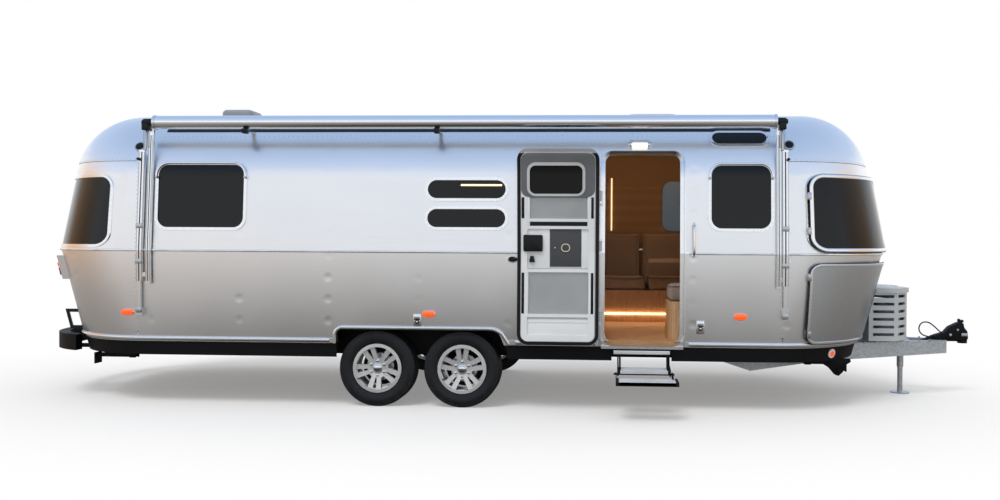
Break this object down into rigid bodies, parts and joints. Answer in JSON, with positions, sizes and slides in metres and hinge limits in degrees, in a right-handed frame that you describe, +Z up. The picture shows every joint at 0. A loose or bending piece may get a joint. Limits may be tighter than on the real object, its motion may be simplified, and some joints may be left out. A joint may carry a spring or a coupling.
{
  "type": "travel caravan",
  "caption": "Riveted aluminium touring caravan with rounded ends, tandem wheels, an opening entry door, a roller awning, a fold-under step and a tongue jack.",
  "frame": {"origin": "on the ground, at the centre of the foot of the tongue jack", "axes": "+X forward towards the coupling, +Y to the left, +Z up"},
  "size_m": [9.092, 3.0048, 2.83],
  "materials": {
    "body_aluminium": "satin polished sheet",
    "bright_trim": "polished extrusion",
    "dark_glass": "tinted",
    "satin_metal": "satin anodised",
    "door_leaf": "satin inner lining",
    "white_frame": "satin white",
    "black_plastic": "moulded",
    "black_steel": "black paint",
    "galvanised_steel": "hot dip galvanised",
    "locker_grey": "light grey paint",
    "bottle_grey": "grey paint",
    "alloy_wheel": "machined and lacquered",
    "tyre_rubber": "rubber",
    "floor_wood": "oak plank laminate",
    "cabinet_wood": "light oak laminate",
    "upholstery": "woven upholstery"
  },
  "bodies": {
    "caravan": {"awning_arms": "bright_trim", "awning_roller": "satin_metal", "axles": "black_steel", "bed_base": "cabinet_wood", "body_trim": "bright_trim", "cabinets": "cabinet_wood", "chassis_frame": "black_steel", "coupling_head": "black_steel", "coupling_levers": "black_plastic", "door_frame": "bright_trim", "drawbar": "galvanised_steel", "floor_deck": "floor_wood", "front_dome": "body_aluminium", "front_wall": "body_aluminium", "gas_bottles": "bottle_grey", "gas_locker": "locker_grey", "jack_tube": "galvanised_steel", "lounge_backs": "upholstery", "lounge_base": "cabinet_wood", "lounge_seats": "upholstery", "mattress": "upholstery", "partitions": "cabinet_wood", "rear_bumper": "black_steel", "rear_dome": "body_aluminium", "rear_fittings": "black_plastic", "rear_wall": "body_aluminium", "roof_panel": "body_aluminium", "roof_vent_curbs": "locker_grey", "side_wall_left": "body_aluminium", "side_wall_right": "body_aluminium", "skirt": "black_steel", "steady_brackets": "black_steel", "step_frame": "black_steel", "stone_guards": "satin_metal", "table": "cabinet_wood", "wheel_boxes": "black_steel", "window_frames": "bright_trim", "window_glass": "dark_glass", "window_guards": "dark_glass"},
    "door": {"entry_door": "door_leaf", "door_glass": "dark_glass", "screen_door_frame": "white_frame"},
    "jack": {"jack_leg": "galvanised_steel"},
    "locker_cover": {"gas_locker_lid": "locker_grey"},
    "fan_lid": {"fan_vent_lid": "locker_grey"},
    "skylight_lid": {"rooflight_lid": "locker_grey"},
    "folding_step": {"step_lower": "black_steel"},
    "road_wheel_front_right": {"tyre_front_right": "tyre_rubber", "wheel_front_right": "alloy_wheel"},
    "steady_arm_front_right": {"steady_front_right": "black_steel"},
    "road_wheel_front_left": {"tyre_front_left": "tyre_rubber", "wheel_front_left": "alloy_wheel"},
    "steady_arm_front_left": {"steady_front_left": "black_steel"},
    "road_wheel_rear_right": {"tyre_rear_right": "tyre_rubber", "wheel_rear_right": "alloy_wheel"},
    "steady_arm_rear_right": {"steady_rear_right": "black_steel"},
    "road_wheel_rear_left": {"tyre_rear_left": "tyre_rubber", "wheel_rear_left": "alloy_wheel"},
    "steady_arm_rear_left": {"steady_rear_left": "black_steel"}
  },
  "joints": [
    {"name": "spin_front_right", "type": "hinge", "parent": "caravan", "child": "road_wheel_front_right", "pos_m": [-4.229, -1.085, 0.345], "axis": [0, 1, 0], "continuous": true},
    {"name": "spin_front_left", "type": "hinge", "parent": "caravan", "child": "road_wheel_front_left", "pos_m": [-4.229, 1.085, 0.345], "axis": [0, 1, 0], "continuous": true},
    {"name": "spin_rear_right", "type": "hinge", "parent": "caravan", "child": "road_wheel_rear_right", "pos_m": [-5.001, -1.085, 0.345], "axis": [0, 1, 0], "continuous": true},
    {"name": "spin_rear_left", "type": "hinge", "parent": "caravan", "child": "road_wheel_rear_left", "pos_m": [-5.001, 1.085, 0.345], "axis": [0, 1, 0], "continuous": true},
    {"name": "entry_door_hinge", "type": "hinge", "parent": "caravan", "child": "door", "pos_m": [-2.99, -1.278, 1.445], "axis": [0, 0, 1], "range_deg": [0, 180]},
    {"name": "jack_slide", "type": "slide", "parent": "caravan", "child": "jack", "axis": [0, 0, 1], "range_m": [0, 0.24]},
    {"name": "steady_front_right_fold", "type": "hinge", "parent": "caravan", "child": "steady_arm_front_right", "pos_m": [-1.08, -0.74, 0.396], "axis": [0, 1, 0], "range_deg": [0, 88]},
    {"name": "steady_front_left_fold", "type": "hinge", "parent": "caravan", "child": "steady_arm_front_left", "pos_m": [-1.08, 0.74, 0.396], "axis": [0, 1, 0], "range_deg": [0, 88]},
    {"name": "steady_rear_right_fold", "type": "hinge", "parent": "caravan", "child": "steady_arm_rear_right", "pos_m": [-7.42, -0.88, 0.396], "axis": [0, -1, 0], "range_deg": [0, 88]},
    {"name": "steady_rear_left_fold", "type": "hinge", "parent": "caravan", "child": "steady_arm_rear_left", "pos_m": [-7.42, 0.88, 0.396], "axis": [0, -1, 0], "range_deg": [0, 88]},
    {"name": "locker_lid_hinge", "type": "hinge", "parent": "caravan", "child": "locker_cover", "pos_m": [-0.008, 0, 1.023], "axis": [0, 1, 0], "range_deg": [0, 95]},
    {"name": "fan_lid_hinge", "type": "hinge", "parent": "caravan", "child": "fan_lid", "pos_m": [-6.918, 0, 2.7525], "axis": [0, -1, 0], "range_deg": [0, 75]},
    {"name": "rooflight_hinge", "type": "hinge", "parent": "caravan", "child": "skylight_lid", "pos_m": [-2.748, 0, 2.7525], "axis": [0, -1, 0], "range_deg": [0, 60]},
    {"name": "lower_step_fold", "type": "hinge", "parent": "caravan", "child": "folding_step", "pos_m": [-2.608, -1.454, 0.367], "axis": [1, 0, 0], "range_deg": [0, 120]}
  ]
}
